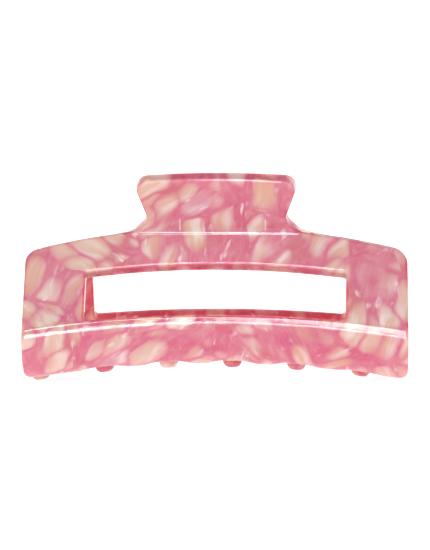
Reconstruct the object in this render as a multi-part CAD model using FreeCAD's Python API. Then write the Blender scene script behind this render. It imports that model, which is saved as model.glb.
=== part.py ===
"""Rectangular claw clip: two equal jaws bent from flat acetate sheet and hinged on a steel pin.

Millimetres. X runs along the clip, Y from the front jaw to the back jaw, Z up. The origin is under
the middle of the clip, level with its lowest teeth. The back jaw is the front jaw turned half a turn
about Z, so that the teeth of one fall between the teeth of the other.
"""

import FreeCAD, Part
import math
import os

from FreeCAD import Placement, Rotation, Vector

# The sheet's side profile. Lengths along it are measured on the outer face.
SHEET = 4.0                  # thickness of the acetate
WAIST = 7.5                  # from the hinge plane to the outer face at the crease
HANDLE_LENGTH = 17.2         # crease to the top of the handle
HANDLE_LEAN = 32.0           # degrees outward, going up
PANEL_LENGTH = 28.0          # crease to the sharp corner of the fold
PANEL_LEAN = 30.0            # degrees outward, going down
APRON_LENGTH = 12.2          # fold to the sharp corner of the heel
APRON_LEAN = 22.0            # degrees inward, going down
TOOTH_DROOP = 3.4            # degrees below level
CREASE_RADIUS = 1.2          # hollow on the outer face
FOLD_RADIUS = 5.5
HEEL_RADIUS = 11.0           # where the apron turns into the teeth
ARCH_RADIUS = 290.0          # of the fold, seen square to the panel
ARCH_TURN = 12.0             # degrees each way, past the ends of the clip

# The outline of the panel, in x and height above the crease along the sheet.
HALF_WIDTH = 52.5
SHOULDER_RISE = 1.7          # height that the shoulder's arc would have at mid width
SHOULDER_RADIUS = 184.0
SHOULDER_START = 23.4        # x where the fillet of the neck meets the shoulder
SHOULDER_END = 48.5          # x where the shoulder's arc ends
TOP_CORNER = 4.5
WINDOW_HALF = 35.7
WINDOW_ARC_HALF = 33.5       # x where the arcs of the window end
WINDOW_TOP = -9.9
WINDOW_TOP_RADIUS = 250.0
WINDOW_BOTTOM = -25.5
WINDOW_BOTTOM_RADIUS = 390.0
WINDOW_CORNER = 1.2

# The outline of the handle, in the same way.
NECK_HALF = 17.8
NECK_FOOT = 0.95             # height of the sharp corner between neck and shoulder
NECK_FILLET = 4.4
HANDLE_HALF = 22.8
HANDLE_CORNER_HEIGHT = 16.3
HANDLE_CORNER = 3.3
CROWN_RADIUS = 260.0
CROWN_ARC_HALF = 17.0

# The teeth, in plan.
TEETH = 6
PITCH = 17.6
SHIFT = PITCH / 4            # of a jaw's teeth to its own right
TOOTH_REACH = 10.5           # of the tips past the hinge plane
TOOTH_ROOT_HALF = 3.3
TOOTH_TIP_HALF = 2.5
TIP_CORNER = 2.4
NOTCH_DEPTH = 12.6           # from the hinge plane to the bottom of a notch
NOTCH_CORNER = 3.6
END_DEPTH = 10.9             # the same past the last tooth, where the other jaw comes to rest
END_CORNER = 5.0
COMB_TOP = -29.0             # the notches are cut below this height

# The hinge.
HINGE_RISE = 1.0             # of the pin above the crease
PIN_RADIUS = 1.0
HEAD_RADIUS = 1.8
HEAD_LENGTH = 0.9
RUNNING_GAP = 0.05           # round the pin in the lugs of the back jaw
END_GAP = 0.3                # between neighbours along the pin
LUG = 3.2                    # thickness of a lug
LUG_RADIUS = 2.9
LUG_INNER = 10.0             # x of the middle of an inner lug
LUG_OUTER = LUG_INNER + LUG + END_GAP
LUG_FOOT = -4.4
LUG_TOP = 7.2

# The spring.
WIRE_RADIUS = 0.45
COIL_RADIUS = 2.15           # of the wire's centre line
COIL_PITCH = 0.98
WHOLE_TURNS = 8              # besides the part of a turn between the legs
LEG_LENGTH = 11.0
LEG_LEAN = HANDLE_LEAN + 1   # degrees outward from upright

FAR = 80.0                   # beyond every edge of the clip


def way(degrees, up):
    """A unit vector in the side view that leans to the front by the angle from upright."""
    a = math.radians(degrees)
    return Vector(0, -math.sin(a), math.cos(a) if up else -math.cos(a))


CREASE = Vector(0, -WAIST, 0)
HINGE = Vector(0, 0, HINGE_RISE)
ALONG = Vector(1, 0, 0)
DOWN_PANEL = way(PANEL_LEAN, False)
OUT_OF_PANEL = way(90 - PANEL_LEAN, True)
HANDLE_TOP = CREASE + way(HANDLE_LEAN, True) * HANDLE_LENGTH
FOLD = CREASE + DOWN_PANEL * PANEL_LENGTH
HEEL = FOLD + way(-APRON_LEAN, False) * APRON_LENGTH
TOOTH_WAY = way(TOOTH_DROOP - 90, False)
TOOTH_END = HEEL + TOOTH_WAY * ((TOOTH_REACH + SHEET - HEEL.y) / TOOTH_WAY.y)
ARCH_CENTRE = FOLD + DOWN_PANEL * ARCH_RADIUS
PANEL_TILT = 90 - PANEL_LEAN         # turns about X that bring a flat drawing onto the panel,
HANDLE_TILT = 90 + HANDLE_LEAN       # the handle,
FRONT_TILT = 90                      # the front view
PLAN_TILT = 0                        # and the plan view


def rounded(points):
    """Edges along points of (position, radius), with an arc at each inner point that has a radius."""
    edges = []
    start = points[0][0]
    for (before, _), (corner, radius), (after, _) in zip(points, points[1:], points[2:]):
        back = (before - corner).normalize()
        on = (after - corner).normalize()
        half = back.getAngle(on) / 2
        enter = corner + back * (radius / math.tan(half))
        leave = corner + on * (radius / math.tan(half))
        if (enter - start).Length > 1e-6:
            edges.append(Part.LineSegment(start, enter).toShape())
        if radius:
            middle = corner + (back + on).normalize() * (radius / math.sin(half) - radius)
            edges.append(Part.Arc(enter, middle, leave).toShape())
        start = leave
    edges.append(Part.LineSegment(start, points[-1][0]).toShape())
    return edges


def closed_face(points):
    """The face inside a loop of (position, radius), which starts and ends half way along a side."""
    half_way = ((points[0][0] + points[-1][0]) / 2, 0)
    return Part.Face(Part.Wire(rounded([half_way] + points + [half_way])))


def drawn(corners):
    """The face inside a flat drawing of (x, height, radius)."""
    return closed_face([(Vector(x, height, 0), radius) for x, height, radius in corners])


def through(face, tilt, origin=CREASE, below=FAR, above=FAR):
    """A flat drawing, tilted about X, as a solid that goes through the sheet."""
    face.translate(Vector(0, 0, -below))
    solid = face.extrude(Vector(0, 0, below + above))
    solid.Placement = Placement(origin, Rotation(ALONG, tilt))
    return solid


def mirrored(right_half, middle=()):
    """A whole drawing, from its right half, given from below to above, and what lies in the middle."""
    left_half = [(-x, height, radius) for x, height, radius in reversed(right_half)]
    return right_half + list(middle) + left_half


def arc_corner(x_from, x_to, rise, radius):
    """Where the tangents at both ends of an arc meet. The arc would be at rise at mid width."""
    return ((x_from + x_to) / 2, rise - x_from * x_to / (2 * radius), 0.98 * radius)


def arc_height(x, rise, radius):
    """Height of such an arc at x."""
    return rise - x ** 2 / (2 * radius)


def sheet_face(bends):
    """The sheet's section along bends of (corner, radius on the outer face), from top to bottom.

    A radius below 0 is hollow on the outer face.
    """
    corners = [corner for corner, _ in bends]
    ways = [(b - a).normalize() for a, b in zip(corners, corners[1:])]
    inward = [Vector(0, -w.z, w.y) for w in ways]
    inner = [(corners[-1] + inward[-1] * SHEET, 0)]
    for (corner, radius), one, other in reversed(list(zip(bends[1:], inward, inward[1:]))):
        both = (one + other).normalize()
        inner.append((corner + both * (SHEET / both.dot(one)), abs(radius - SHEET)))
    inner.append((corners[0] + inward[0] * SHEET, 0))
    outer = [(corner, abs(radius)) for corner, radius in bends]
    return closed_face(outer + inner)


def panel_solid():
    """The flat panel between the shoulders and the fold, as wide as the clip."""
    shoulder = arc_corner(SHOULDER_START, SHOULDER_END, SHOULDER_RISE, SHOULDER_RADIUS)
    end_height = arc_height(SHOULDER_END, SHOULDER_RISE, SHOULDER_RADIUS)
    corner_drop = (HALF_WIDTH - SHOULDER_END) * SHOULDER_END / SHOULDER_RADIUS
    start_height = arc_height(SHOULDER_START, SHOULDER_RISE, SHOULDER_RADIUS)
    outline = mirrored([
        (HALF_WIDTH, -0.8 * PANEL_LENGTH, 0),
        (HALF_WIDTH, end_height - corner_drop, TOP_CORNER),
        shoulder,
        (SHOULDER_START, start_height, 0),
        (SHOULDER_START, -SHEET, 0),
    ])
    return through(drawn(outline), PANEL_TILT, below=SHEET, above=0)


def handle_solid():
    """The handle with its neck fillets, the bend at the crease and the panel just below it."""
    start_height = arc_height(SHOULDER_START, SHOULDER_RISE, SHOULDER_RADIUS)
    crown = arc_corner(-CROWN_ARC_HALF, CROWN_ARC_HALF, HANDLE_LENGTH, CROWN_RADIUS)
    outline = mirrored([
        (SHOULDER_START, -FAR, 0),
        (SHOULDER_START, start_height, 0),
        (NECK_HALF, NECK_FOOT, NECK_FILLET),
        (HANDLE_HALF, HANDLE_CORNER_HEIGHT, HANDLE_CORNER),
    ], middle=[crown])
    past_top = HANDLE_TOP + (HANDLE_TOP - CREASE).normalize() * SHEET
    face = sheet_face([(past_top, 0), (CREASE, -CREASE_RADIUS), (CREASE + DOWN_PANEL * 2 * SHEET, 0)])
    face.translate(ALONG * -SHOULDER_START)
    handle = face.extrude(ALONG * 2 * SHOULDER_START).common(through(drawn(outline), HANDLE_TILT))
    return handle.cut([neck_relief(FRONT_TILT, HANDLE_CORNER_HEIGHT), neck_relief(PANEL_TILT, SHEET)])


def neck_relief(tilt, top):
    """What the neck fillets cut from the bend when the outline is seen along another direction."""
    start_height = arc_height(SHOULDER_START, SHOULDER_RISE, SHOULDER_RADIUS)
    flare_height = HANDLE_CORNER_HEIGHT * math.cos(math.radians(HANDLE_LEAN))
    right = drawn([
        (SHOULDER_START, start_height, 0),
        (NECK_HALF, NECK_FOOT, NECK_FILLET),
        (HANDLE_HALF, flare_height, 0),
        (HANDLE_HALF + SHEET, flare_height, 0),
        (HANDLE_HALF + SHEET, start_height, 0),
    ])
    both = right.fuse(right.mirror(Vector(0, 0, 0), ALONG))
    below_top = Part.makePlane(2 * FAR, 2 * FAR, Vector(-FAR, top - 2 * FAR, 0))
    return through(both.common(below_top), tilt)


def lower_solid():
    """The panel, fold, apron and heel, and a plate that the teeth are cut from, all arched."""
    start = CREASE + DOWN_PANEL * (0.4 * PANEL_LENGTH)
    face = sheet_face([(start, 0), (FOLD, FOLD_RADIUS), (HEEL, HEEL_RADIUS), (TOOTH_END, 0)])
    face.rotate(ARCH_CENTRE, OUT_OF_PANEL, -ARCH_TURN)
    arched = face.revolve(ARCH_CENTRE, OUT_OF_PANEL, 2 * ARCH_TURN)
    between_the_sides = Part.makeBox(2 * HALF_WIDTH, 2 * FAR, 2 * FAR, Vector(-HALF_WIDTH, -FAR, -FAR))
    return arched.common(between_the_sides).cut(comb())


def comb():
    """What is cut away round the teeth, in plan: the notches, the gaps between tips and both ends."""
    first = SHIFT - PITCH * (TEETH - 1) / 2
    outline = [
        (-FAR, FAR, 0),
        (-FAR, -END_DEPTH - END_CORNER, 0),
        (-HALF_WIDTH, -END_DEPTH - END_CORNER, 0),
        (-HALF_WIDTH, -END_DEPTH, END_CORNER),
    ]
    for tooth in range(TEETH):
        x = first + tooth * PITCH
        outline += [
            (x - TOOTH_ROOT_HALF, -NOTCH_DEPTH if tooth else -END_DEPTH, NOTCH_CORNER),
            (x - TOOTH_TIP_HALF, TOOTH_REACH, TIP_CORNER),
            (x + TOOTH_TIP_HALF, TOOTH_REACH, TIP_CORNER),
            (x + TOOTH_ROOT_HALF, -NOTCH_DEPTH, NOTCH_CORNER),
        ]
    outline[-1:] = [
        (x + TOOTH_TIP_HALF, -END_DEPTH, END_CORNER),
        (HALF_WIDTH, -END_DEPTH - END_CORNER, END_CORNER),
        (HALF_WIDTH, -END_DEPTH - 2 * END_CORNER, 0),
        (FAR, -END_DEPTH - 2 * END_CORNER, 0),
        (FAR, FAR, 0),
    ]
    return through(drawn(outline), PLAN_TILT, origin=Vector(0, 0, COMB_TOP), above=0)


def window():
    """What is cut away at the window."""
    top = arc_corner(-WINDOW_ARC_HALF, WINDOW_ARC_HALF, WINDOW_TOP, WINDOW_TOP_RADIUS)
    bottom = arc_corner(-WINDOW_ARC_HALF, WINDOW_ARC_HALF, WINDOW_BOTTOM, WINDOW_BOTTOM_RADIUS)
    corner_top = arc_height(WINDOW_HALF, WINDOW_TOP, WINDOW_TOP_RADIUS)
    corner_bottom = arc_height(WINDOW_HALF, WINDOW_BOTTOM, WINDOW_BOTTOM_RADIUS)
    outline = [
        bottom,
        (WINDOW_HALF, corner_bottom, WINDOW_CORNER),
        (WINDOW_HALF, corner_top, WINDOW_CORNER),
        top,
        (-WINDOW_HALF, corner_top, WINDOW_CORNER),
        (-WINDOW_HALF, corner_bottom, WINDOW_CORNER),
    ]
    return through(drawn(outline), PANEL_TILT, below=2 * SHEET, above=SHEET)


def jaw():
    """The front jaw: one bent sheet."""
    sheet = lower_solid().fuse([panel_solid(), handle_solid()])
    return sheet.cut(window()).removeSplitter().Solids[0]


def lug(x, bore_radius):
    """A lug of the front jaw, glued to its inner face, with a bore for the pin."""
    foot = Vector(0, -WAIST, LUG_FOOT)
    top = Vector(0, -WAIST - SHEET / 2, LUG_TOP)
    low = HINGE - Vector(0, 0, LUG_RADIUS)
    high = HINGE + Vector(0, 0, LUG_RADIUS)
    front = HINGE + Vector(0, LUG_RADIUS, 0)
    edges = [
        Part.LineSegment(foot, low).toShape(),
        Part.Arc(low, front, high).toShape(),
        Part.LineSegment(high, top).toShape(),
        Part.LineSegment(top, foot).toShape(),
    ]
    start = ALONG * (x - LUG / 2)
    plate = Part.Face(Part.Wire(edges))
    plate.translate(start)
    bore = Part.makeCylinder(bore_radius, LUG, HINGE + start, ALONG)
    sheet = sheet_face([(HANDLE_TOP, 0), (CREASE, -CREASE_RADIUS), (FOLD, 0)])
    sheet.translate(start)
    pieces = plate.extrude(ALONG * LUG).cut(sheet.extrude(ALONG * LUG)).cut(bore).Solids
    return max(pieces, key=lambda piece: piece.Volume)


def hinge_pin():
    """A plain pin with a head formed on each end."""
    half = LUG_OUTER + LUG / 2 + END_GAP
    right_half = [
        (half, PIN_RADIUS, 0),
        (half, HEAD_RADIUS, 0),
        (half + HEAD_LENGTH, HEAD_RADIUS, HEAD_LENGTH / 2),
        (half + HEAD_LENGTH, 0, 0),
    ]
    left_half = [(-x, radius, bend) for x, radius, bend in reversed(right_half)]
    pin = drawn(left_half + right_half).revolve(Vector(0, 0, 0), ALONG, 360)
    pin.translate(HINGE)
    return pin


def torsion_spring():
    """A coil round the pin, with a leg up the inner face of each handle."""
    first_angle = 180 + LEG_LEAN
    last_angle = 360 - LEG_LEAN
    turns = WHOLE_TURNS + (last_angle - first_angle) / 360
    length = turns * COIL_PITCH
    helix = Part.makeHelix(COIL_PITCH, length, COIL_RADIUS)
    start = Vector(COIL_RADIUS, 0, 0)
    tangent = Vector(0, 2 * math.pi * COIL_RADIUS, COIL_PITCH)
    section = Part.Wire(Part.makeCircle(WIRE_RADIUS, start, tangent))
    coil = Part.Wire(helix).makePipeShell([section], True, True)
    along_x = Rotation(Vector(1, 1, 1), 120)
    coil.Placement = Placement(HINGE - ALONG * (length / 2), Rotation(ALONG, first_angle) * along_x)
    spring = Part.Solid(coil)
    for side in (-1, 1):
        leg_way = Vector(0, side * math.sin(math.radians(LEG_LEAN)), math.cos(math.radians(LEG_LEAN)))
        foot = HINGE + Vector(side * length / 2, side * leg_way.z * COIL_RADIUS,
                              -side * leg_way.y * COIL_RADIUS)
        overlap = leg_way * (WIRE_RADIUS / 2)
        leg = Part.makeCylinder(WIRE_RADIUS, LEG_LENGTH, foot - overlap, leg_way)
        spring = spring.fuse(leg)
    return spring.Solids[0]


def back(shape):
    """The same piece on the back jaw."""
    turned = shape.copy()
    turned.rotate(Vector(0, 0, 0), Vector(0, 0, 1), 180)
    return turned


def main():
    front_jaw = jaw()
    fit = PIN_RADIUS
    loose = PIN_RADIUS + RUNNING_GAP
    pieces = {
        "front_jaw": front_jaw,
        "back_jaw": back(front_jaw),
        "front_lug_left": lug(-LUG_INNER, fit),
        "front_lug_right": lug(LUG_OUTER, fit),
        "back_lug_left": back(lug(LUG_OUTER, loose)),
        "back_lug_right": back(lug(-LUG_INNER, loose)),
        "hinge_pin": hinge_pin(),
        "torsion_spring": torsion_spring(),
    }
    lift = -front_jaw.optimalBoundingBox(False).ZMin
    os.makedirs("parts", exist_ok=True)
    for name, shape in pieces.items():
        shape.translate(Vector(0, 0, lift))
        shape.exportStep(f"parts/{name}.step")
        box = shape.optimalBoundingBox(False)
        print(name, shape.isValid(), len(shape.Solids), round(shape.Volume, 1),
              [round(v, 2) for v in (box.XMin, box.XMax, box.YMin, box.YMax, box.ZMin, box.ZMax)])
    print("hinge height", lift + HINGE_RISE)


main()
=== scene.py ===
"""Looks of the rectangular claw clip: two bent acetate jaws, their lugs, a steel pin and a spring.

Lengths are in millimetres and are turned to metres where a mesh is made. A jaw is modelled as the
flat sheet that it is cut from, with rounded edges, and then bent along the side profile of the CAD
part. A place on the flat sheet is (x, v, depth): v is 0 at the crease, above 0 on the handle and
below 0 on the panel, apron and teeth, and depth is 0 on the outer face.
"""

import math
from collections import namedtuple

import bmesh
import bpy
import numpy as np
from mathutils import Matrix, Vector, geometry

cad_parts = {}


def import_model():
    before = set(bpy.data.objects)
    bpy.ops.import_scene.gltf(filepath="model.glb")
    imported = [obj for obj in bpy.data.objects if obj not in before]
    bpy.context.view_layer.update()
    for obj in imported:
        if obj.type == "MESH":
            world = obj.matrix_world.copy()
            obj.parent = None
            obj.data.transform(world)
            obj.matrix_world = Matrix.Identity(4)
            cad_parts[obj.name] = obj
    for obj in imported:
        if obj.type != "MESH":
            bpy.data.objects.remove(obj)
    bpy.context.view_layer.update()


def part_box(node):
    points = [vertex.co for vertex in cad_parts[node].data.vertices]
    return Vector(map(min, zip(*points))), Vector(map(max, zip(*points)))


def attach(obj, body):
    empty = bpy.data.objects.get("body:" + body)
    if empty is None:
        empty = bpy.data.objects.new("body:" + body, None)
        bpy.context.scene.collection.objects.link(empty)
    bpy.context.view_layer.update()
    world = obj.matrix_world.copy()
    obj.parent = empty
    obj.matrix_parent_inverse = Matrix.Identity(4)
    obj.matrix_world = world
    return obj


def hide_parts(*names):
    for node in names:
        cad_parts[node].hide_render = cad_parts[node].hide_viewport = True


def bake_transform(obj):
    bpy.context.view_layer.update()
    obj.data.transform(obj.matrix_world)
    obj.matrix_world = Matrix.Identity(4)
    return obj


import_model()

MM = 0.001

# The sheet's side profile, as in the CAD part.
SHEET = 4.0
WAIST = 7.5
HANDLE_LENGTH = 17.2
HANDLE_LEAN = 32.0
PANEL_LENGTH = 28.0
PANEL_LEAN = 30.0
APRON_LENGTH = 12.2
APRON_LEAN = 22.0
TOOTH_DROOP = 3.4
CREASE_RADIUS = 1.2
FOLD_RADIUS = 5.5
HEEL_RADIUS = 11.0
ARCH_RADIUS = 290.0
ARCH_START = 12.0            # below the crease, where the arch is at its full size

# The outline, as in the CAD part.
HALF_WIDTH = 52.5
SHOULDER_RISE = 1.7
SHOULDER_RADIUS = 184.0
SHOULDER_START = 23.4
SHOULDER_END = 48.5
TOP_CORNER = 4.5
WINDOW_HALF = 35.7
WINDOW_ARC_HALF = 33.5
WINDOW_TOP = -9.9
WINDOW_TOP_RADIUS = 250.0
WINDOW_BOTTOM = -25.5
WINDOW_BOTTOM_RADIUS = 390.0
WINDOW_CORNER = 1.2
NECK_HALF = 17.8
NECK_FOOT = 0.95
NECK_FILLET = 4.4
HANDLE_HALF = 22.8
HANDLE_CORNER_HEIGHT = 16.3
HANDLE_CORNER = 3.3
CROWN_RADIUS = 260.0
CROWN_ARC_HALF = 17.0
TEETH = 6
PITCH = 17.6
SHIFT = PITCH / 4
TOOTH_REACH = 10.5
TOOTH_ROOT_HALF = 3.3
TOOTH_TIP_HALF = 2.5
TIP_CORNER = 2.4
NOTCH_DEPTH = 12.6
NOTCH_CORNER = 3.6
END_DEPTH = 10.9
END_CORNER = 5.0

# The hinge and the spring, as in the CAD part.
HINGE_RISE = 1.0
PIN_RADIUS = 1.0
HEAD_RADIUS = 1.8
HEAD_LENGTH = 0.9
RUNNING_GAP = 0.05
END_GAP = 0.3
LUG = 3.2
LUG_RADIUS = 2.9
LUG_INNER = 10.0
LUG_OUTER = LUG_INNER + LUG + END_GAP
LUG_FOOT = -4.4
LUG_TOP = 7.2
LUG_CORNER = 1.1
LUG_WAIST = (-5.6, 0.4, 3.0)  # where the lug's hidden side keeps inside the sheet at the crease
WIRE_RADIUS = 0.45
COIL_RADIUS = 2.15
COIL_PITCH = 0.98
WHOLE_TURNS = 8
LEG_LENGTH = 11.0
LEG_LEAN = HANDLE_LEAN + 1
TURNS = WHOLE_TURNS + (180 - 2 * LEG_LEAN) / 360
COIL_LENGTH = TURNS * COIL_PITCH

# Finish of the meshes.
EDGE = 0.75                  # radius of the polished edges of the sheet
TOOTH_EDGE = 1.7             # of the teeth, which are rounder
HEEL_START = 5.0             # above the heel's sharp corner, where the edge starts to grow
TOOTH_EDGE_START = 9.0       # below it, where it is reached
LUG_EDGE = 0.35
EDGE_STEPS = 5
FACE_MARGIN = 0.3            # flat rim inside a rounded edge
OUTLINE_STEP = 0.6
CORNER_STEP = 9.0            # degrees
ARC_SHARE = 0.98             # of an arc's radius, so that the arc ends just inside its tangents
SAME_PLACE = 1e-4
MERGE_WITHIN = 1e-7
GRID_STEP = 1.2
GRID_CLEARANCE = 0.55 * OUTLINE_STEP
BEND_STEP = 0.4
BEND_MARGIN = 1.5 * BEND_STEP
BISECTIONS = 40
SIDE_START = -0.7 * PANEL_LENGTH     # where the upper outline starts and ends, on the sides
COMB_END = 1.6 * END_CORNER          # up the sheet from its ends' foot, where the teeth's outline ends
LUG_POINTS = 24              # round a lug's end
BORE_POINTS = 40
LUG_REACH = 12.0             # of the grid inside a lug, either way
LATHE_SIDES = 40
DOME_STEPS = 8
DOME_RIM = 0.35              # height of a pin head's rim, of the head's length
DOME_POWER = 0.8             # below 1, a flatter dome
# The corner from the pin to its head, as (along, radius) from the corner and from the head's edge.
PIN_FILLET = ((-0.06, 0.0), (0.0, 0.03))
HEAD_FILLET = ((0.02, -0.15), (0.1, -0.03))
WIRE_SIDES = 14
COIL_STEPS = 28              # in a turn
LEG_STEPS = 14
WIRE_TIP = ((0.8, 0.3), (0.35, 0.45))    # how wide and how far ahead the blunted end's rings are

# Which part of the marbled pattern a piece shows: how far it is moved along the sheet.
FRONT_PATTERN = (-110.0, -30.0, 0.0)
BACK_PATTERN = (300.0, 60.0, 0.0)
LUG_PATTERN = (3.0, 120.0)   # times the lug's place along the pin, and along the sheet

# How strongly a cut wall is tinted and glows: fully at the sides and foot of the window, which lie in
# shade, where the tint is painted shade as well as the cut edge's deeper colour.
OUTSIDE_TINT = 0.3           # of the walls that light reaches from all round
WINDOW_MARGIN = 1.0          # beside the window, which still counts as its walls
WINDOW_TOP_MARGIN = 3.0      # below the window's top, which doesn't

hinge_low, hinge_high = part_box("hinge_pin")
CREASE_HEIGHT = (hinge_low[2] + hinge_high[2]) / 2 / MM - HINGE_RISE

# The side view (y, z), going down the sheet.
HEADINGS = [math.radians(a) for a in (HANDLE_LEAN - 90, -PANEL_LEAN - 90, APRON_LEAN - 90, -TOOTH_DROOP)]
FOLD_V = -PANEL_LENGTH
HEEL_V = FOLD_V - APRON_LENGTH
Bend = namedtuple("Bend", "corner v radius")


def step(start, heading, length):
    """The place this far from the start along a heading."""
    return (start[0] + length * math.cos(heading), start[1] + length * math.sin(heading))


CREASE = (-WAIST, 0.0)
FOLD = step(CREASE, HEADINGS[1], PANEL_LENGTH)
HEEL = step(FOLD, HEADINGS[2], APRON_LENGTH)
BENDS = [
    Bend(CREASE, 0.0, CREASE_RADIUS),
    Bend(FOLD, FOLD_V, FOLD_RADIUS),
    Bend(HEEL, HEEL_V, HEEL_RADIUS),
]
ARCH_CENTRE = step(FOLD, HEADINGS[1], ARCH_RADIUS)
TOOTH_END = HEEL_V - (TOOTH_REACH + SHEET - HEEL[0])


# ---------------------------------------------------------------- the bent sheet

def bend_half(radius, before, after):
    """How far a bend reaches each way from its sharp corner."""
    return radius * math.tan(abs(after - before) / 2)


def side_profile(v):
    """y and z of the outer face at v in the middle of the clip, and the heading there."""
    heading = np.full(v.shape, HEADINGS[0])
    y = CREASE[0] - v * math.cos(HEADINGS[0])
    z = CREASE[1] - v * math.sin(HEADINGS[0])
    for (corner, corner_v, radius), before, after in zip(BENDS, HEADINGS, HEADINGS[1:]):
        half = bend_half(radius, before, after)
        side = math.copysign(1, after - before)
        below = v < corner_v - half
        heading = np.where(below, after, heading)
        y = np.where(below, corner[0] + (corner_v - v) * math.cos(after), y)
        z = np.where(below, corner[1] + (corner_v - v) * math.sin(after), z)
        enter = step(corner, before, -half)
        centre = (enter[0] - side * radius * math.sin(before), enter[1] + side * radius * math.cos(before))
        inside = np.abs(v - corner_v) <= half
        angle = before + (after - before) * (corner_v + half - v) / (2 * half)
        heading = np.where(inside, angle, heading)
        y = np.where(inside, centre[0] + side * radius * np.sin(angle), y)
        z = np.where(inside, centre[1] - side * radius * np.cos(angle), z)
    return y, z, heading


def bent(x, v, depth):
    """Places in the clip, in millimetres from the middle of the crease's height, of flat places."""
    y, z, heading = side_profile(v)
    y = y - depth * np.sin(heading) - ARCH_CENTRE[0]
    z = z + depth * np.cos(heading) - ARCH_CENTRE[1]
    down = (math.cos(HEADINGS[1]), math.sin(HEADINGS[1]))
    out = (down[1], -down[0])
    reach = -(y * down[0] + z * down[1])
    normal = y * out[0] + z * out[1]
    share = np.clip(-v / ARCH_START, 0, 1)
    reach = reach * (1 - share) + np.sqrt(reach ** 2 - x ** 2) * share
    return np.stack([
        x,
        ARCH_CENTRE[0] - reach * down[0] + normal * out[0],
        ARCH_CENTRE[1] - reach * down[1] + normal * out[1],
    ], axis=-1)


def solved(x, target, measure, low, high):
    """v at which measure(x, v) is target. The measure falls from high to low."""
    low = np.full(x.shape, low)
    high = np.full(x.shape, high)
    for _ in range(BISECTIONS):
        middle = (low + high) / 2
        above = measure(x, middle) > target
        high = np.where(above, middle, high)
        low = np.where(above, low, middle)
    return (low + high) / 2


def panel_height(x, v):
    """Height above the crease along the flat panel."""
    place = bent(x, v, np.zeros_like(v))
    lean = math.radians(PANEL_LEAN)
    on_panel = ((CREASE[0] - place[:, 1]) * -math.sin(lean)
                + (place[:, 2] - CREASE[1]) * math.cos(lean))
    return np.where(v > 0, v, on_panel)


def tooth_depth(x, v):
    """Depth of the middle of the sheet in front of the hinge plane."""
    return -bent(x, v, np.full(v.shape, SHEET / 2))[:, 1]


# ---------------------------------------------------------------- outlines

def rounded(corners, closed):
    """Dense points (x, y) along a path of (x, y, radius), with an arc at each corner that has a radius."""
    count = len(corners)
    points = []
    for i in range(count):
        x, y, radius = corners[i]
        here = Vector((x, y))
        if not radius:
            points.append(here)
            continue
        back = (Vector(corners[i - 1][:2]) - here).normalized()
        on = (Vector(corners[(i + 1) % count][:2]) - here).normalized()
        half = back.angle(on) / 2
        centre = here + (back + on).normalized() * (radius / math.sin(half))
        enter = here + back * (radius / math.tan(half)) - centre
        turn = math.pi - 2 * half
        side = 1 if back.x * on.y - back.y * on.x < 0 else -1
        pieces = max(2, math.ceil(turn * radius / OUTLINE_STEP),
                     math.ceil(math.degrees(turn) / CORNER_STEP))
        for k in range(pieces + 1):
            angle = side * turn * k / pieces
            cos, sin = math.cos(angle), math.sin(angle)
            points.append(centre + Vector((enter.x * cos - enter.y * sin, enter.x * sin + enter.y * cos)))
    dense = []
    ends = points[1:] + points[:1] if closed else points[1:]
    for a, b in zip(points, ends):
        pieces = max(1, math.ceil((b - a).length / OUTLINE_STEP))
        if (b - a).length > SAME_PLACE:
            dense += [a.lerp(b, k / pieces) for k in range(pieces)]
    if not closed:
        dense.append(points[-1])
    return np.array([tuple(p) for p in dense])


def arc_corner(x_from, x_to, rise, radius):
    """Where the tangents at both ends of an arc meet. The arc would be at rise at mid width."""
    return ((x_from + x_to) / 2, rise - x_from * x_to / (2 * radius), ARC_SHARE * radius)


def arc_height(x, rise, radius):
    """Height at x of a shallow arc that is at rise at mid width."""
    return rise - x ** 2 / (2 * radius)


def mirrored(right_half, middle=()):
    """A whole path from the corners of its right half, with the middle between the halves."""
    return right_half + list(middle) + [(-x, y, r) for x, y, r in reversed(right_half)]


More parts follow.
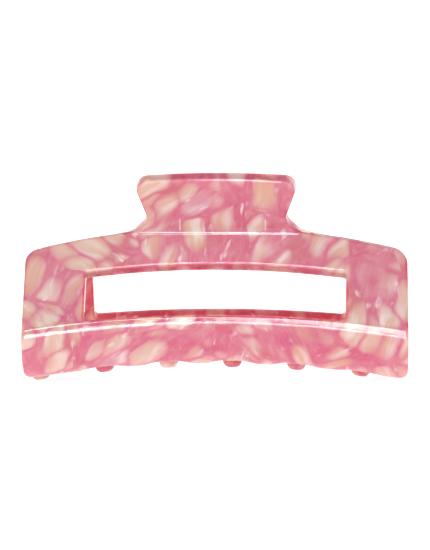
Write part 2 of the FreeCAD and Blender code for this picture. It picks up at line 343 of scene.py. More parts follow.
def jaw_outline():
    """The outline of the flat sheet, anticlockwise, in x and v."""
    corner_drop = (HALF_WIDTH - SHOULDER_END) * SHOULDER_END / SHOULDER_RADIUS
    top = rounded(mirrored([
        (HALF_WIDTH, SIDE_START, 0),
        (HALF_WIDTH, arc_height(SHOULDER_END, SHOULDER_RISE, SHOULDER_RADIUS) - corner_drop, TOP_CORNER),
        arc_corner(SHOULDER_START, SHOULDER_END, SHOULDER_RISE, SHOULDER_RADIUS),
        (NECK_HALF, NECK_FOOT, NECK_FILLET),
        (HANDLE_HALF, HANDLE_CORNER_HEIGHT, HANDLE_CORNER),
    ], middle=[arc_corner(-CROWN_ARC_HALF, CROWN_ARC_HALF, HANDLE_LENGTH, CROWN_RADIUS)]), closed=False)
    top_v = solved(top[:, 0], top[:, 1], panel_height, FOLD_V, HANDLE_LENGTH + SHEET)
    first = SHIFT - PITCH * (TEETH - 1) / 2
    comb = [(-HALF_WIDTH, -END_DEPTH - END_CORNER, 0), (-HALF_WIDTH, -END_DEPTH, END_CORNER)]
    for tooth in range(TEETH):
        x = first + tooth * PITCH
        comb += [
            (x - TOOTH_ROOT_HALF, -NOTCH_DEPTH if tooth else -END_DEPTH, NOTCH_CORNER),
            (x - TOOTH_TIP_HALF, TOOTH_REACH, TIP_CORNER),
            (x + TOOTH_TIP_HALF, TOOTH_REACH, TIP_CORNER),
            (x + TOOTH_ROOT_HALF, -NOTCH_DEPTH, NOTCH_CORNER),
        ]
    comb[-1:] = [
        (x + TOOTH_TIP_HALF, -END_DEPTH, END_CORNER),
        (HALF_WIDTH, -END_DEPTH - END_CORNER, END_CORNER),
        (HALF_WIDTH, -END_DEPTH - COMB_END, 0),
    ]
    comb = rounded(comb, closed=False)
    comb_v = solved(comb[:, 0], -comb[:, 1], tooth_depth, TOOTH_END, FOLD_V)
    upper = np.stack([top[:, 0], top_v], axis=1)
    lower = np.stack([comb[:, 0], comb_v], axis=1)
    sides = []
    for a, b in ((upper[-1], lower[0]), (lower[-1], upper[0])):
        shares = np.linspace(0, 1, math.ceil(np.linalg.norm(b - a) / OUTLINE_STEP) + 1)[1:-1, None]
        sides.append(a + (b - a) * shares)
    return np.concatenate([upper, sides[0], lower, sides[1]])


def window_outline():
    """The outline of the window, clockwise, in x and v."""
    corner_top = arc_height(WINDOW_HALF, WINDOW_TOP, WINDOW_TOP_RADIUS)
    corner_bottom = arc_height(WINDOW_HALF, WINDOW_BOTTOM, WINDOW_BOTTOM_RADIUS)
    points = rounded([
        arc_corner(-WINDOW_ARC_HALF, WINDOW_ARC_HALF, WINDOW_BOTTOM, WINDOW_BOTTOM_RADIUS),
        (-WINDOW_HALF, corner_bottom, WINDOW_CORNER),
        (-WINDOW_HALF, corner_top, WINDOW_CORNER),
        arc_corner(-WINDOW_ARC_HALF, WINDOW_ARC_HALF, WINDOW_TOP, WINDOW_TOP_RADIUS),
        (WINDOW_HALF, corner_top, WINDOW_CORNER),
        (WINDOW_HALF, corner_bottom, WINDOW_CORNER),
    ], closed=True)
    v = solved(points[:, 0], points[:, 1], panel_height, FOLD_V - FOLD_RADIUS, 0.0)
    return np.stack([points[:, 0], v], axis=1)


# ---------------------------------------------------------------- plates with rounded edges

def into_material(loop):
    """Unit normals of a loop that has the material on its left."""
    after = np.roll(loop, -1, axis=0) - loop
    after /= np.linalg.norm(after, axis=1)[:, None]
    along = after + np.roll(after, 1, axis=0)
    along /= np.linalg.norm(along, axis=1)[:, None]
    return np.stack([-along[:, 1], along[:, 0]], axis=1)


def inside(points, loops):
    """Which points lie inside an odd number of loops."""
    odd = np.zeros(len(points), bool)
    for loop in loops:
        x1, y1 = loop.T
        x2, y2 = np.roll(loop, -1, axis=0).T
        px, py = points[:, :1], points[:, 1:]
        spans = (y1 > py) != (y2 > py)
        with np.errstate(divide="ignore", invalid="ignore"):
            crossing = x1 + (py - y1) * (x2 - x1) / (y2 - y1)
        odd ^= (np.sum(spans & (px < crossing), axis=1) % 2).astype(bool)
    return odd


def tube_faces(start, size, count):
    """Faces between count rings of size points, the first of which is point number start."""
    around = np.arange(size)
    on = (around + 1) % size
    faces = []
    for ring in range(count - 1):
        a, b = start + ring * size, start + (ring + 1) * size
        faces += np.stack([a + around, a + on, b + on, b + around], axis=1).tolist()
    return faces


def rounded_walls(loops, thickness, edge, shade):
    """The walls of a plate, as lists of rings of places and of wall shares, and their faces.

    It also returns the rim of the flat faces inside each loop, and the point numbers of the rims in
    front and at the back.
    """
    angles = [math.pi / 2 * k / EDGE_STEPS for k in range(EDGE_STEPS, -1, -1)]
    rings = [(1.0, 0.0, FACE_MARGIN)] + [(1 - math.cos(a), 1 - math.sin(a), 0.0) for a in angles]
    middle = len(rings)
    rings += [(0.0, 1.0, 0.0)] + rings[::-1]
    places, walls, faces, rims, front, back = [], [], [], [], [], []
    start = 0
    for loop in loops:
        normals = into_material(loop)
        size = len(loop)
        radius = edge(loop)
        rims.append(loop + normals * (radius + FACE_MARGIN)[:, None])
        for number, (inset, depth, margin) in enumerate(rings):
            moved = loop + normals * (radius * inset + margin)[:, None]
            if number == middle:
                depth = np.full(size, thickness / 2)
            else:
                depth = radius * depth if number < middle else thickness - radius * depth
            places.append(np.column_stack([moved, depth]))
            walls.append((1 - inset) * shade(loop))
        faces += tube_faces(start, size, len(rings))
        front.append(start + np.arange(size))
        start += len(rings) * size
        back.append(start - size + np.arange(size))
    return places, walls, faces, rims, front, back


def triangulated(rims, rows, columns):
    """The grid's points inside the rims, and anticlockwise triangles of the rims' and these points."""
    rim_points = np.concatenate(rims)
    grid = np.array([(x, v) for v in rows for x in columns])
    grid = grid[inside(grid, rims)]
    nearest = np.array([np.min(np.sum((rim_points - p) ** 2, axis=1)) for p in grid])
    grid = grid[nearest > GRID_CLEARANCE ** 2]
    flat = np.concatenate([rim_points, grid])
    edges, first = [], 0
    for rim in rims:
        edges += [(first + k, first + (k + 1) % len(rim)) for k in range(len(rim))]
        first += len(rim)
    made = geometry.delaunay_2d_cdt([Vector(p) for p in flat.tolist()], edges, [], 0, MERGE_WITHIN)
    if len(made[0]) != len(flat):
        raise RuntimeError("the triangulation added or merged points")
    triangles = np.array(made[2])
    triangles = triangles[inside(flat[triangles].mean(axis=1), rims)]
    corner = flat[triangles]
    one, other = corner[:, 1] - corner[:, 0], corner[:, 2] - corner[:, 0]
    clockwise = one[:, 0] * other[:, 1] - one[:, 1] * other[:, 0] < 0
    triangles[clockwise] = triangles[clockwise][:, ::-1]
    return grid, triangles


def plate(loops, rows, columns, thickness, edge, shade):
    """Flat places (x, v, depth), faces and wall shares of a plate with rounded edges.

    loops have the material on their left. rows and columns give the grid inside. edge gives the
    radius of the rounding at each place of a loop, and shade how strongly its wall is tinted, partly as
    painted shade, and glows.
    """
    places, walls, faces, rims, front, back = rounded_walls(loops, thickness, edge, shade)
    grid, triangles = triangulated(rims, rows, columns)
    start = sum(len(ring) for ring in places)
    for depth, rim_ids, order in ((0.0, front, 1), (thickness, back, -1)):
        ids = np.concatenate(rim_ids + [start + np.arange(len(grid))])
        faces += ids[triangles][:, ::order].tolist()
        places.append(np.column_stack([grid, np.full(len(grid), depth)]))
        walls.append(np.zeros(len(grid)))
        start += len(grid)
    return np.concatenate(places), faces, np.concatenate(walls)


def mesh_object(name, places, faces, attributes, material):
    """A smooth mesh object from places in millimetres."""
    mesh = bpy.data.meshes.new(name)
    mesh.from_pydata((places * MM).tolist(), [], faces)
    for attribute, values in attributes.items():
        values = np.asarray(values, np.float32)
        kind, field = ("FLOAT_VECTOR", "vector") if values.ndim == 2 else ("FLOAT", "value")
        mesh.attributes.new(attribute, kind, "POINT").data.foreach_set(field, values.ravel())
    solid = bmesh.new()
    solid.from_mesh(mesh)
    bmesh.ops.recalc_face_normals(solid, faces=solid.faces)
    solid.to_mesh(mesh)
    solid.free()
    mesh.shade_smooth()
    mesh.materials.append(material)
    made = bpy.data.objects.new(name, mesh)
    bpy.context.scene.collection.objects.link(made)
    return made


def grid_rows():
    """v of the grid rows of a jaw, which are dense in the bends."""
    rows = [HANDLE_LENGTH]
    while rows[-1] > TOOTH_END:
        v = rows[-1]
        near = False
        for bend, before, after in zip(BENDS, HEADINGS, HEADINGS[1:]):
            reach = bend_half(bend.radius, before, after) + BEND_MARGIN
            near = near or abs(v - bend.v) < reach
        rows.append(v - (BEND_STEP if near else GRID_STEP))
    return rows


def jaw_edge(loop):
    """The radius of the rounded edge, which grows from the heel to the teeth."""
    share = np.clip((HEEL_V + HEEL_START - loop[:, 1]) / (HEEL_START + TOOTH_EDGE_START), 0, 1)
    return EDGE + (TOOTH_EDGE - EDGE) * share ** 2 * (3 - 2 * share)


def jaw_shade(loop):
    """How much a cut wall is tinted and glows: fully at the sides and foot of the window, which lie in
    shade, hardly elsewhere. The tint is partly painted shade.
    """
    x, v = loop.T
    beside = np.abs(x) <= WINDOW_HALF + WINDOW_MARGIN
    below = (v < WINDOW_TOP - WINDOW_TOP_MARGIN) & (v > FOLD_V)
    return np.where(beside & below, 1.0, OUTSIDE_TINT)


def jaw_mesh():
    """Flat places, faces and wall shares of a jaw."""
    columns = np.arange(-HALF_WIDTH, HALF_WIDTH, GRID_STEP)
    return plate([jaw_outline(), window_outline()], grid_rows(), columns, SHEET, jaw_edge, jaw_shade)


def jaw(name, body, flat, faces, walls, turn, pattern, material):
    """One jaw, which stands for its CAD node. turn is -1 for the one that is turned half a turn."""
    places = bent(flat[:, 0], flat[:, 1], flat[:, 2]) * np.array([turn, turn, 1])
    places[:, 2] += CREASE_HEIGHT
    attributes = {"sheet_place": flat, "pattern_place": flat + np.array(pattern), "wall": walls}
    made = mesh_object(name, places, faces, attributes, material)
    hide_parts(f"{body}_jaw")
    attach(made, body)


# ---------------------------------------------------------------- the hinge

def lug_piece(name, body, middle, bore_radius, turn, material):
    """A lug, which stands for its CAD node. Its foot reaches into the sheet, as if glued.

    middle is its place along the pin before the turn. All of it counts as the sheet's shaded inner face,
    so it has the painted glow all over.
    """
    arc = [(LUG_RADIUS * math.sin(a), HINGE_RISE - LUG_RADIUS * math.cos(a), 0)
           for a in np.linspace(0, math.pi, LUG_POINTS)]
    foot = (-WAIST, LUG_FOOT, LUG_CORNER)
    top = (-WAIST - SHEET / 2, LUG_TOP, LUG_CORNER)
    outline = rounded([foot] + arc + [top, LUG_WAIST], closed=True)
    bore = np.array([(bore_radius * math.cos(a), HINGE_RISE + bore_radius * math.sin(a))
                     for a in np.linspace(0, -2 * math.pi, BORE_POINTS, endpoint=False)])
    steps = np.arange(-LUG_REACH, LUG_REACH, GRID_STEP)
    flat, faces, walls = plate([outline, bore], steps, steps, LUG,
                               edge=lambda loop: np.full(len(loop), LUG_EDGE),
                               shade=lambda loop: np.full(len(loop), OUTSIDE_TINT))
    places = np.stack([middle - LUG / 2 + flat[:, 2], flat[:, 0], CREASE_HEIGHT + flat[:, 1]], axis=1)
    places[:, :2] *= turn
    pattern = flat + np.array([middle * LUG_PATTERN[0], LUG_PATTERN[1], 0.0])
    # The lug has the painted glow of the shaded inner face all over.
    in_shade = pattern * np.array([1, 1, 0]) + np.array([0, 0, SHEET])
    attributes = {"sheet_place": in_shade, "pattern_place": pattern, "wall": walls}
    made = mesh_object(name + "_plate", places, faces, attributes, material)
    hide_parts(name)
    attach(made, body)


def lathe(name, profile, material):
    """A piece turned about the hinge axis from a profile of (x, radius). It ends on the axis."""
    angles = np.linspace(0, 2 * math.pi, LATHE_SIDES, endpoint=False)
    ring = np.stack([np.zeros(LATHE_SIDES), np.cos(angles), np.sin(angles)], axis=1)
    inner = profile[1:-1]
    places = [ring * np.array([1, r, r]) + np.array([x, 0, 0]) for x, r in inner]
    faces = tube_faces(0, LATHE_SIDES, len(inner))
    first = len(inner) * LATHE_SIDES
    end = first - LATHE_SIDES
    pairs = [(a, (a + 1) % LATHE_SIDES) for a in range(LATHE_SIDES)]
    faces += [(first, b, a) for a, b in pairs]
    faces += [(first + 1, end + a, end + b) for a, b in pairs]
    places = np.concatenate(places + [[(profile[0][0], 0, 0)], [(profile[-1][0], 0, 0)]])
    places[:, 2] += CREASE_HEIGHT + HINGE_RISE
    return mesh_object(name, places, faces, {}, material)


def pin_piece(material):
    """The pin, with a domed head formed on each end."""
    half = LUG_OUTER + LUG / 2 + END_GAP
    right = [(0.0, PIN_RADIUS)]
    right += [(half + along, PIN_RADIUS + out) for along, out in PIN_FILLET]
    right += [(half + along, HEAD_RADIUS + out) for along, out in HEAD_FILLET]
    for a in np.linspace(0, math.pi / 2, DOME_STEPS + 1)[:-1]:
        right.append((half + HEAD_LENGTH * (DOME_RIM + (1 - DOME_RIM) * math.sin(a)),
                      HEAD_RADIUS * math.cos(a) ** DOME_POWER))
    right.append((half + HEAD_LENGTH, 0.0))
    profile = [(-x, r) for x, r in reversed(right[1:])] + right
    made = lathe("hinge_pin_steel", profile, material)
    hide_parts("hinge_pin")
    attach(made, "front")


def spring_path():
    """The wire's centre line, from the tip of the front leg to the tip of the back leg."""
    lean = math.radians(LEG_LEAN)
    first = math.radians(180 + LEG_LEAN)
    steps = int(TURNS * COIL_STEPS)
    coil = []
    for k in range(steps + 1):
        angle = first + 2 * math.pi * TURNS * k / steps
        coil.append((-COIL_LENGTH / 2 + COIL_LENGTH * k / steps,
                     COIL_RADIUS * math.cos(angle), COIL_RADIUS * math.sin(angle)))
    legs = []
    for side, foot in ((-1, coil[0]), (1, coil[-1])):
        way = np.array([0.0, side * math.sin(lean), math.cos(lean)])
        shares = np.linspace(0, 1, LEG_STEPS + 1)[1:]
        legs.append([tuple(np.array(foot) + way * LEG_LENGTH * s) for s in shares])
    path = list(reversed(legs[0])) + coil + legs[1]
    return np.array(path) + np.array([0, 0, CREASE_HEIGHT + HINGE_RISE])


def spring_piece(material):
    """The torsion spring: a coil with a leg at each end."""
    path = spring_path()
    tangent = np.gradient(path, axis=0)
    tangent /= np.linalg.norm(tangent, axis=1)[:, None]
    side = np.cross(tangent, [1.0, 0.0, 0.0])
    side /= np.linalg.norm(side, axis=1)[:, None]
    other = np.cross(tangent, side)
    angles = np.linspace(0, 2 * math.pi, WIRE_SIDES, endpoint=False)
    rings = []
    for k, centre in enumerate(path):
        rings.append(centre + WIRE_RADIUS * (np.outer(np.cos(angles), side[k])
                                             + np.outer(np.sin(angles), other[k])))
    ends = []
    for at, sign in ((0, -1), (-1, 1)):
        ends.append([path[at] + (rings[at] - path[at]) * scale + tangent[at] * sign * WIRE_RADIUS * ahead
                     for scale, ahead in WIRE_TIP])
    rings = ends[0][::-1] + rings + ends[1]
    around = np.arange(WIRE_SIDES)
    faces = tube_faces(0, WIRE_SIDES, len(rings))
    faces.append(around[::-1].tolist())
    faces.append((around + (len(rings) - 1) * WIRE_SIDES).tolist())
    made = mesh_object("torsion_spring_wire", np.concatenate(rings), faces, {}, material)
    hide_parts("torsion_spring")
    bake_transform(made)


# ---------------------------------------------------------------- materials

# A colour is in 0 to 255 display values, and a noise is (scale, detail). Of two limits, a ramp is 0
# at the first and 1 at the second. A share is how much of a layer covers those below it. The
# acetate's pattern is in millimetres on the flat sheet.
THROUGH = 0.5                # how fast the pattern changes through the sheet, against along it
SWAY_NOISE = (0.1, 1.0)
SWAY = (4.5, 4.5, 2.0)       # range of the pattern's bending
CELL_POWER = 2.8             # 2 is round cells, higher is squarer
GROUP = (25, 21, 60)         # size of the groups of chips that lie the same way
GROUP_TURN = 2.4             # radians between the groups' extreme directions
GROUP_SMOOTH = 0.21
GROUP_GAP = 10.0             # how wide the deep pink between groups is
CHIP = (6.4, 12.0, 14)       # size of a chip
CHIP_SPREAD = 0.85           # 0 is chips in rows
CHIP_SMOOTH = 0.75
CHIP_GAP = 2.05              # how wide the deep pink between chips is
CHIP_FADE = 0.52             # how much a chip fades towards its ends
CHIP_BORDER = (0.15, 0.57)
CHIP_CENTRE = (0.45, 0.05)
CHIP_COLOURS = (224, 172, 145), (225, 184, 170)
CENTRE_COLOUR = (229, 204, 190)
CENTRE_SHARE = 0.5
ROSE_CHIPS = (0.86, 0.98)
ROSE_COLOUR = (219, 146, 162)
PEARL_NOISE = (0.3, 2.0)
PEARL = (0.42, 0.66)
PEARL_AND_SHEEN_COLOUR = (241, 226, 220)
PEARL_SHARE = 0.7
GRAIN = (1.0, 0.25, 1.0)     # pearl is drawn out along the chips
CLOUD_NOISE = (0.16, 3.0)
CLOUD = (0.35, 0.65)
CLOUD_COLOURS = (215, 97, 132), (219, 127, 147)
WARM_NOISE = (0.07, 1.0)
WARM = (0.5, 0.7)
WARM_COLOUR = (211, 107, 124)
# A painted sheen all over.
PAINTED_SHEEN_NOISE = (0.9, 4.0)
PAINTED_SHEEN = (0.45, 0.8)
PAINTED_SHEEN_COLOUR = (232, 210, 206)
PAINTED_SHEEN_SHARE = 0.22
# Flares of pearl: the pearl's colour, partly painted sheen.
FLARE_NOISE = (0.5, 3.0)
FLARE = (0.56, 0.72)
FLARE_PATCH_NOISE = (0.2, 1.0)
FLARE_PATCH = (0.48, 0.62)
FLARE_AND_SHEEN_COLOUR = (250, 232, 230)
FLARE_SHARE = 0.8
FLAKE = (2.4, 8, 8)          # size of a bright flake, the pearl's colour with a painted glint
FLAKE_CHOICE = (0.955, 0.98)
FLAKE_SHAPE = (0.5, 0.05)
FLAKE_AND_GLINT_COLOUR = (252, 238, 238)
FLAKE_SHARE = 0.7

# Glue marks and a painted highlight along the crease, on the outer face.
GLUE_MARK_AND_HIGHLIGHT_DEPTH = (0.8, 0.4)
GLUE_MARK_AND_HIGHLIGHT_COLOUR = (255, 248, 248)
GLUE_MARK_AND_HIGHLIGHT_SHARE = 0.85
CREASE_HIGHLIGHT_HALF = 0.22           # half width of the painted highlight along the crease
CREASE_HIGHLIGHT = (CREASE_HIGHLIGHT_HALF, 0.4 * CREASE_HIGHLIGHT_HALF)
CREASE_HIGHLIGHT_MIDDLE = -5.0
CREASE_HIGHLIGHT_REACH = (16.8, 15.6)  # either way from its middle
GLUE_WIDTH = (0.32, 0.1)     # either way from a lug's side
GLUE_MIDDLE = 2.5
GLUE_HEIGHT = (2.1, 1.5)     # either way from its middle
GLUE_SHARE = 0.6

# How the acetate takes light.
BASE_SHADE = (215, 215, 215)     # darkens it for the strength of the studio light
# Deeper colour of the cut walls, partly painted shade.
CUT_AND_PAINTED_SHADE_TINT = (255, 186, 192)
CUT = (0.1, 0.9)
# Painted glow at the cut walls and the shaded inner face.
GLOW_TINT = (255, 165, 172)
GLOW_WALL = (0.3, 1.0)
GLOW_WALL_SHARE = 0.8
GLOW_DEPTH = (1.6, 4.0)
GLOW = 0.3
POLISH_NOISE = (0.5, 4.0)
POLISH = (0.04, 0.1)         # roughness
WALL_ROUGHER = 0.04
WAVE_NOISE = (0.12, 1.0)
WAVE_POLISH = 0.05           # how much of the polish is in the waves

# The steel, in metres.
LINE_NOISE = (1000.0, 3.0)
LINE_SHADE = 0.82
DRAWN = (0.2, 0.38)          # roughness
SPECK_NOISE = (900.0, 4.0)
SPECKS = (0.58, 0.72)
SPECK_COLOUR = (120, 116, 112)
SPECK_SHARE = 0.35
PIN_GRAIN = (0.15, 1.0, 1.0)     # its lines are drawn out along it
SPRING_GRAIN = (1.0, 1.0, 1.0)
PIN_TINT = (214, 212, 208)
SPRING_TINT = (205, 204, 202)

# The floor, in metres.
FLOOR_NOISE = (6.0, 2.0)
FLOOR_COLOURS = (250, 250, 250), (252, 252, 252)
FLOOR_SHINE = 0.71


def srgb(red, green, blue):
    """A linear colour from its 0 to 255 display values."""
    shares = [c / 255 for c in (red, green, blue)]
    return tuple(c / 12.92 if c <= 0.04045 else ((c + 0.055) / 1.055) ** 2.4 for c in shares) + (1.0,)


class Graph:
    """Short ways to add and link the nodes of one material."""

    def __init__(self, name):
        self.material = bpy.data.materials.new(name)
        self.material.use_nodes = True
        self.nodes = self.material.node_tree.nodes
        self.links = self.material.node_tree.links
        self.shader = self.nodes["Principled BSDF"]

    def put(self, value, socket):
        """Links an output to a socket, or sets the socket's own value."""
        if isinstance(value, bpy.types.NodeSocket):
            self.links.new(value, socket)
        else:
            socket.default_value = value

    def add(self, kind, output=0, settings=None, **inputs):
        node = self.nodes.new("ShaderNode" + kind)
        for key, value in (settings or {}).items():
            setattr(node, key, value)
        for key, value in inputs.items():
            self.put(value, node.inputs[int(key[1:])] if key[1:].isdigit() else node.inputs[key])
        return node.outputs[output]

    def maths(self, operation, a, b=0.0, c=0.0):
        return self.add("Math", settings={"operation": operation}, i0=a, i1=b, i2=c)

    def times(self, a, b):
        return self.maths("MULTIPLY", a, b)

    def distance(self, value, middle):
        """How far a value is from the middle, either way."""
        return self.maths("ABSOLUTE", self.maths("SUBTRACT", value, middle))

    def vector(self, operation, a, b):
        return self.add("VectorMath", settings={"operation": operation}, i0=a, i1=b)

    def mix(self, share, a, b, blend="MIX"):
        node = self.nodes.new("ShaderNodeMix")
        node.data_type = "RGBA"
        node.blend_type = blend
        for socket, value in zip((node.inputs[0], node.inputs[6], node.inputs[7]), (share, a, b)):
            self.put(value, socket)
        return node.outputs[2]

    def ramped(self, value, low, high):
        """0 below low and 1 above high, smooth between them."""
        return self.add("MapRange", settings={"interpolation_type": "SMOOTHSTEP"},
                        i0=value, i1=low, i2=high, i3=0.0, i4=1.0)

    def spread(self, noise, low, high):
        """The middle of a noise's range, 0.3 to 0.7, spread over low to high."""
        return self.add("MapRange", i0=noise, i1=0.3, i2=0.7, i3=low, i4=high)

    def layer(self, share, below, colour, strength=1.0):
        """A colour laid over the ones below it."""
        if strength != 1.0:
            share = self.times(share, strength)
        return self.mix(share, below, srgb(*colour))

    def attribute(self, name, output):
        return self.add("Attribute", output=output, settings={"attribute_name": name})

    def split(self, kind, value):
        """The three parts of a vector ("XYZ") or of a colour ("Color")."""
        node = self.nodes.new("ShaderNodeSeparate" + kind)
        self.links.new(value, node.inputs[0])
        return node.outputs

    def noise(self, place, scale, detail, output="Fac"):
        node = self.nodes.new("ShaderNodeTexNoise")
        node.inputs["Scale"].default_value = scale
        node.inputs["Detail"].default_value = detail
        self.put(place, node.inputs["Vector"])
        return node.outputs[output]

    def cells(self, place, feature, output, smoothness=1.0, randomness=1.0):
        """Cells of a Voronoi pattern, squarer than usual."""
        node = self.nodes.new("ShaderNodeTexVoronoi")
        node.feature = feature
        node.distance = "MINKOWSKI"
        node.inputs["Exponent"].default_value = CELL_POWER
        node.inputs["Scale"].default_value = 1.0
        node.inputs["Randomness"].default_value = randomness
        if feature == "SMOOTH_F1":
            node.inputs["Smoothness"].default_value = smoothness
        self.put(place, node.inputs["Vector"])
        return node.outputs[output]

    def surface(self, inputs):
        """Sets or links the shader's sockets."""
        for name, value in inputs.items():
            self.put(value, self.shader.inputs[name])

    def bump(self, height, strength, distance):
        """Small relief on the surface, with its distance in metres."""
        node = self.nodes.new("ShaderNodeBump")
        node.inputs["Strength"].default_value = strength
        node.inputs["Distance"].default_value = distance
        self.put(height, node.inputs["Height"])
        self.put(node.outputs[0], self.shader.inputs["Normal"])


def marbling(g, place):
    """The sheet's colour: chips pressed into deep pink, with flares and flakes of pearl, and a painted
    sheen and painted glints.
    """
    sway = g.vector("SUBTRACT", g.noise(place, *SWAY_NOISE, "Color"), (0.5, 0.5, 0.5))
    swayed = g.vector("ADD", place, g.vector("MULTIPLY", sway, SWAY))

    # Groups of chips that lie the same way.
    group_place = g.vector("MULTIPLY", swayed, [1 / size for size in GROUP])
    group = g.split("Color", g.cells(group_place, "F1", "Color"))
    group_gap = g.maths("SUBTRACT", g.cells(group_place, "F1", "Distance"),
                        g.cells(group_place, "SMOOTH_F1", "Distance", GROUP_SMOOTH))
    turn = g.maths("MULTIPLY_ADD", group[0], GROUP_TURN, -GROUP_TURN / 2)
    turned = g.add("VectorRotate", settings={"rotation_type": "Z_AXIS"}, Vector=swayed, Angle=turn)

    # Where the deep pink shows between the chips.
    chip_place = g.vector("MULTIPLY", turned, [1 / size for size in CHIP])
    chip_far = g.cells(chip_place, "F1", "Distance", randomness=CHIP_SPREAD)
    chip_gap = g.maths("SUBTRACT", chip_far,
                       g.cells(chip_place, "SMOOTH_F1", "Distance", CHIP_SMOOTH, CHIP_SPREAD))
    gap = g.maths("ADD", g.times(chip_gap, CHIP_GAP), g.times(group_gap, GROUP_GAP))
    border = g.ramped(g.maths("ADD", gap, g.times(chip_far, CHIP_FADE)), *CHIP_BORDER)

    # The chips' own colours.
    random = g.split("Color", g.cells(chip_place, "F1", "Color", randomness=CHIP_SPREAD))
    grain = g.vector("MULTIPLY", turned, GRAIN)
    chip = g.mix(random[0], *[srgb(*colour) for colour in CHIP_COLOURS])
    chip = g.layer(g.ramped(chip_far, *CHIP_CENTRE), chip, CENTRE_COLOUR, CENTRE_SHARE)
    chip = g.layer(g.ramped(random[1], *ROSE_CHIPS), chip, ROSE_COLOUR)
    # Pearly streaks in the chips: the pearl's colour, partly painted sheen.
    pearl = g.ramped(g.noise(grain, *PEARL_NOISE), *PEARL)
    chip = g.layer(pearl, chip, PEARL_AND_SHEEN_COLOUR, PEARL_SHARE)

    # The deep pink between them.
    cloud = g.ramped(g.noise(place, *CLOUD_NOISE), *CLOUD)
    matrix = g.mix(cloud, *[srgb(*colour) for colour in CLOUD_COLOURS])
    matrix = g.layer(g.ramped(g.noise(place, *WARM_NOISE), *WARM), matrix, WARM_COLOUR)
    body = g.mix(border, chip, matrix)

    # A painted sheen all over, then flares and flakes of pearl that lie near the surface: the pearl's
    # colour, partly painted sheen and painted glints.
    painted_sheen = g.ramped(g.noise(grain, *PAINTED_SHEEN_NOISE), *PAINTED_SHEEN)
    body = g.layer(painted_sheen, body, PAINTED_SHEEN_COLOUR, PAINTED_SHEEN_SHARE)
    flare_and_sheen = g.times(g.ramped(g.noise(grain, *FLARE_NOISE), *FLARE),
                    g.ramped(g.noise(place, *FLARE_PATCH_NOISE), *FLARE_PATCH))
    body = g.layer(flare_and_sheen, body, FLARE_AND_SHEEN_COLOUR, FLARE_SHARE)
    flake_place = g.vector("MULTIPLY", turned, [1 / size for size in FLAKE])
    choice = g.split("Color", g.cells(flake_place, "F1", "Color"))[0]
    flake_and_glint = g.times(g.ramped(choice, *FLAKE_CHOICE),
                    g.ramped(g.cells(flake_place, "F1", "Distance"), *FLAKE_SHAPE))
    return g.layer(flake_and_glint, body, FLAKE_AND_GLINT_COLOUR, FLAKE_SHARE)


def glue_marked_and_highlit(g, body, across, along, depth):
    """The colour with a painted highlight in the sharp bend of the crease, and pale marks where a lug is
    glued behind it.
    """
    # A painted highlight along the crease.
    glue_marks_and_highlight = g.times(g.ramped(g.maths("ABSOLUTE", along), *CREASE_HIGHLIGHT),
                    g.ramped(g.distance(across, CREASE_HIGHLIGHT_MIDDLE), *CREASE_HIGHLIGHT_REACH))
    for lug_x in (-LUG_INNER, LUG_OUTER):
        glue = g.times(g.ramped(g.distance(across, lug_x), *GLUE_WIDTH),
                       g.ramped(g.distance(along, GLUE_MIDDLE), *GLUE_HEIGHT))
        glue_marks_and_highlight = g.maths("MAXIMUM", glue_marks_and_highlight, g.times(glue, GLUE_SHARE))
    outer = g.ramped(depth, *GLUE_MARK_AND_HIGHLIGHT_DEPTH)
    return g.layer(g.times(glue_marks_and_highlight, outer), body, GLUE_MARK_AND_HIGHLIGHT_COLOUR, GLUE_MARK_AND_HIGHLIGHT_SHARE)


def acetate():
    """Pearly marbled acetate: cream and peach chips pressed into deep pink, polished."""
    g = Graph("pearl_acetate")
    place = g.vector("MULTIPLY", g.attribute("pattern_place", "Vector"), (1.0, 1.0, THROUGH))
    wall = g.attribute("wall", "Fac")
    across, along, depth = g.split("XYZ", g.attribute("sheet_place", "Vector"))
    body = glue_marked_and_highlit(g, marbling(g, place), across, along, depth)

    # Cut edges gather the colour of the whole sheet. The tint is also painted shade, strongest on the
    # shaded walls of the window.
    cut = g.mix(1.0, body, srgb(*CUT_AND_PAINTED_SHADE_TINT), "MULTIPLY")
    colour = g.mix(g.ramped(wall, *CUT), body, cut)

    # Painted glow: emission stands in for light that travels inside the sheet and comes out at the cut
    # walls and at the shaded inner face.
    glow = g.mix(1.0, body, srgb(*GLOW_TINT), "MULTIPLY")
    shaded = g.maths("MAXIMUM", g.times(g.ramped(wall, *GLOW_WALL), GLOW_WALL_SHARE),
                     g.ramped(depth, *GLOW_DEPTH))

    polish = g.noise(place, *POLISH_NOISE)
    g.surface({
        "Base Color": g.mix(1.0, colour, srgb(*BASE_SHADE), "MULTIPLY"),
        "Emission Color": g.mix(shaded, (0.0, 0.0, 0.0, 1.0), glow),
        "Emission Strength": GLOW,
        "Roughness": g.maths("ADD", g.spread(polish, *POLISH), g.times(wall, WALL_ROUGHER)),
        "IOR": 1.5,
        "Subsurface Weight": 0.7,
        "Subsurface Radius": (1.0, 0.3, 0.3),
        "Subsurface Scale": 0.004,
    })
    waves = g.maths("ADD", g.noise(place, *WAVE_NOISE), g.times(polish, WAVE_POLISH))
    g.bump(waves, strength=0.3, distance=0.0004)
    return g.material


def steel(name, grain, tint):
    """Drawn steel wire: fine lines, with faint dark specks."""
    g = Graph(name)
    place = g.add("TexCoord", output="Object")
    lines = g.noise(g.vector("MULTIPLY", place, grain), *LINE_NOISE)
    specks = g.ramped(g.noise(place, *SPECK_NOISE), *SPECKS)
    base = g.mix(lines, srgb(*[int(c * LINE_SHADE) for c in tint]), srgb(*tint))
    g.surface({
        "Base Color": g.layer(specks, base, SPECK_COLOUR, SPECK_SHARE),
        "Metallic": 1.0,
        "Roughness": g.spread(lines, *DRAWN),
    })
    g.bump(lines, strength=0.2, distance=0.00003)
    return g.material


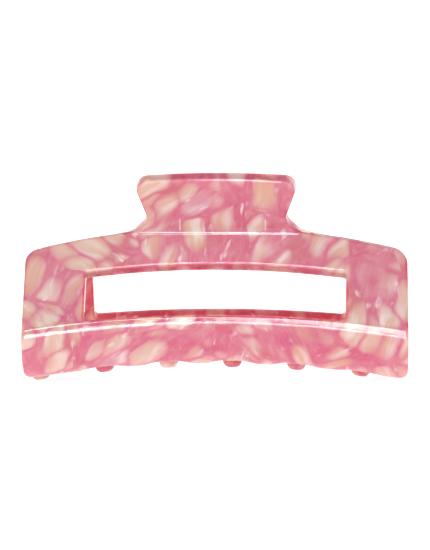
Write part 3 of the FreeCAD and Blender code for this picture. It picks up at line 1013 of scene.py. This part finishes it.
def floor_material():
    """A pale floor with a trace of shade, which shines enough to look white."""
    g = Graph("pale_floor")
    shade = g.noise(g.add("TexCoord", output="Object"), *FLOOR_NOISE)
    g.surface({
        "Base Color": g.mix(shade, *[srgb(*colour) for colour in FLOOR_COLOURS]),
        "Roughness": 0.9,
        "Specular IOR Level": 0.1,
        "Emission Color": (1.0, 1.0, 1.0, 1.0),
        "Emission Strength": FLOOR_SHINE,
    })
    return g.material


# ---------------------------------------------------------------- the set

FLOOR_FRONT = -1500.0
FLOOR_BACK = 900.0
FLOOR_BEND = 500.0           # radius of the sweep from the floor to the backdrop
FLOOR_BEND_STEPS = 23
BACKDROP = 1600.0            # above the sweep
FLOOR_HALF = 2500.0
WHITE_TO = 12                # degrees above the horizon
DIM_FROM = 26
WORLD_HORIZON = 1.0          # brightness
WORLD_OVERHEAD = 0.17

# The studio lights point at LIT_PLACE. Azimuth is 0 in front and grows to the right. Their
# reflections are the bright band and the thin lines along the bends.
LIT_PLACE = (0.0, -15.0, CREASE_HEIGHT - 10.0)
Light = namedtuple("Light", "name azimuth elevation distance size power")
LIGHTS = [
    Light("top_light", -10, 62, 700, (500, 200), 0.55),
    Light("band_light", 1.9, 24, 900, (124, 860), 4.1),
    Light("low_light", 0, 7.5, 900, (130, 200), 0.55),
    Light("line_light", 0, 41, 900, (520, 40), 0.7),
    Light("left_light", -8.2, 44, 900, (110, 70), 0.45),
    Light("left_low_light", -3.7, 10, 900, (60, 45), 0.16),
]

VIEW_AZIMUTH = 2.2
VIEW_ELEVATION = 2.2
VIEW_DISTANCE = 800.0
VIEWED_PLACE = (-0.7, 0.0, CREASE_HEIGHT - 12.0)
LENS = 188.2


def floor_piece():
    """A plain pale floor that sweeps up behind the clip."""
    section = [(FLOOR_FRONT, 0.0), (FLOOR_BACK, 0.0)]
    for a in np.linspace(0, math.pi / 2, FLOOR_BEND_STEPS + 1)[1:]:
        section.append((FLOOR_BACK + FLOOR_BEND * math.sin(a), FLOOR_BEND * (1 - math.cos(a))))
    section.append((FLOOR_BACK + FLOOR_BEND, FLOOR_BEND + BACKDROP))
    places = np.array([(x, y, z) for y, z in section for x in (-FLOOR_HALF, FLOOR_HALF)])
    faces = [(2 * k, 2 * k + 1, 2 * k + 3, 2 * k + 2) for k in range(len(section) - 1)]
    made = mesh_object("floor", places, faces, {}, floor_material())


def aimed(target, azimuth, elevation, distance):
    """The place in this direction from the target."""
    a, e = math.radians(azimuth), math.radians(elevation)
    away = Vector((math.sin(a) * math.cos(e), -math.cos(a) * math.cos(e), math.sin(e)))
    return Vector(target) + away * distance


def pointed(made, place, target):
    """Puts a light or a camera at a place in millimetres, pointed at the target."""
    made.location = place * MM
    made.rotation_mode = "QUATERNION"
    made.rotation_quaternion = (Vector(target) - place).to_track_quat("-Z", "Y")
    bpy.context.scene.collection.objects.link(made)


def softbox(light):
    """A rectangular soft light."""
    data = bpy.data.lights.new(light.name, "AREA")
    data.shape = "RECTANGLE"
    data.size, data.size_y = [side * MM for side in light.size]
    data.energy = light.power
    place = aimed(LIT_PLACE, light.azimuth, light.elevation, light.distance)
    pointed(bpy.data.objects.new(light.name, data), place, LIT_PLACE)


def camera():
    """A long lens, a little to the right of the clip's front and a little above it."""
    data = bpy.data.cameras.new("camera")
    data.lens = LENS
    data.sensor_width = 36.0
    data.clip_start, data.clip_end = 0.01, 20.0
    made = bpy.data.objects.new("camera", data)
    pointed(made, aimed(VIEWED_PLACE, VIEW_AZIMUTH, VIEW_ELEVATION, VIEW_DISTANCE), VIEWED_PLACE)
    bpy.context.scene.camera = made


def world():
    """A studio that is white up to a little above the horizon, and dimmer overhead."""
    made = bpy.data.worlds.new("studio")
    bpy.context.scene.world = made
    made.use_nodes = True
    nodes, links = made.node_tree.nodes, made.node_tree.links
    direction = nodes.new("ShaderNodeTexCoord")
    height = nodes.new("ShaderNodeSeparateXYZ")
    links.new(direction.outputs["Generated"], height.inputs[0])
    strength = nodes.new("ShaderNodeMapRange")
    strength.interpolation_type = "SMOOTHSTEP"
    links.new(height.outputs["Z"], strength.inputs[0])
    low, high = math.sin(math.radians(WHITE_TO)), math.sin(math.radians(DIM_FROM))
    for socket, value in zip(strength.inputs[1:], (low, high, WORLD_HORIZON, WORLD_OVERHEAD)):
        socket.default_value = value
    background = nodes["Background"]
    background.inputs["Color"].default_value = (1.0, 1.0, 1.0, 1.0)
    links.new(strength.outputs[0], background.inputs["Strength"])


def main():
    """Builds the clip, the floor, the lights and the camera."""
    pearl = acetate()
    flat, faces, walls = jaw_mesh()
    jaw("front_jaw_sheet", "front", flat, faces, walls, 1, FRONT_PATTERN, pearl)
    jaw("back_jaw_sheet", "back", flat, faces, walls, -1, BACK_PATTERN, pearl)
    lug_piece("front_lug_left", "front", -LUG_INNER, PIN_RADIUS, 1, pearl)
    lug_piece("front_lug_right", "front", LUG_OUTER, PIN_RADIUS, 1, pearl)
    lug_piece("back_lug_left", "back", LUG_OUTER, PIN_RADIUS + RUNNING_GAP, -1, pearl)
    lug_piece("back_lug_right", "back", -LUG_INNER, PIN_RADIUS + RUNNING_GAP, -1, pearl)
    pin_piece(steel("pin_steel", PIN_GRAIN, PIN_TINT))
    spring_piece(steel("spring_steel", SPRING_GRAIN, SPRING_TINT))

    floor_piece()
    world()
    for light in LIGHTS:
        softbox(light)
    camera()
    bpy.context.scene.view_settings.view_transform = "Standard"


main()
